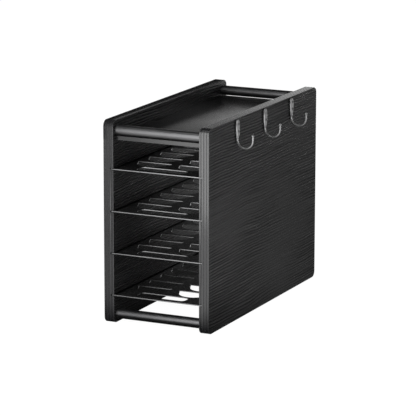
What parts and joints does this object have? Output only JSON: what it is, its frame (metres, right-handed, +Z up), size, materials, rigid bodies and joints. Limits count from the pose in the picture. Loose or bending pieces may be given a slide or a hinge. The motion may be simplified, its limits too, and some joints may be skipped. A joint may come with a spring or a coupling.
{
  "type": "coffee pod drawer",
  "caption": "Free-standing black pod organiser: wood-grain side panels, round rails, a top tray, slotted shelves that slide out in grooves, and side hooks.",
  "frame": {"origin": "centre of the whole part's box at floor level; the middle between the two panels lies 15.05 mm to the left of it because the hooks stand out on the right", "axes": "+X to the right, seen from the front where the shelves pull out, +Y to the back, +Z up"},
  "size_m": [0.212, 0.418, 0.325],
  "materials": {
    "woodgrain_board": "black embossed wood-grain laminate on board",
    "edge_banding": "black edge banding with three fine lines, satin",
    "rail_paint": "black satin paint on steel tube",
    "tray_paint": "black satin paint on sheet steel",
    "shelf_paint": "black satin paint on sheet steel",
    "plug_nylon": "grey moulded nylon",
    "stud_steel": "zinc plated steel",
    "insert_brass": "turned brass",
    "hook_metal": "black satin plated cast metal",
    "screw_black": "black oxide steel"
  },
  "bodies": {
    "case": {"left_panel": "woodgrain_board", "right_panel": "woodgrain_board", "left_edge_band": "edge_banding", "right_edge_band": "edge_banding", "top_front_rail": "rail_paint", "top_rear_rail": "rail_paint", "bottom_front_rail": "rail_paint", "bottom_rear_rail": "rail_paint", "rail_end_plugs": "plug_nylon", "rail_studs": "stud_steel", "panel_inserts": "insert_brass", "top_tray": "tray_paint", "hook_front": "hook_metal", "hook_middle": "hook_metal", "hook_rear": "hook_metal", "hook_screws": "screw_black"},
    "shelf_1": {"pod_shelf_1": "shelf_paint"},
    "shelf_2": {"pod_shelf_2": "shelf_paint"},
    "shelf_3": {"pod_shelf_3": "shelf_paint"},
    "shelf_4": {"pod_shelf_4": "shelf_paint"}
  },
  "joints": [
    {"name": "shelf_1_slide", "type": "slide", "parent": "case", "child": "shelf_1", "axis": [0, -1, 0], "range_m": [0, 0.3]},
    {"name": "shelf_2_slide", "type": "slide", "parent": "case", "child": "shelf_2", "axis": [0, -1, 0], "range_m": [0, 0.3]},
    {"name": "shelf_3_slide", "type": "slide", "parent": "case", "child": "shelf_3", "axis": [0, -1, 0], "range_m": [0, 0.3]},
    {"name": "shelf_4_slide", "type": "slide", "parent": "case", "child": "shelf_4", "axis": [0, -1, 0], "range_m": [0, 0.3]}
  ]
}
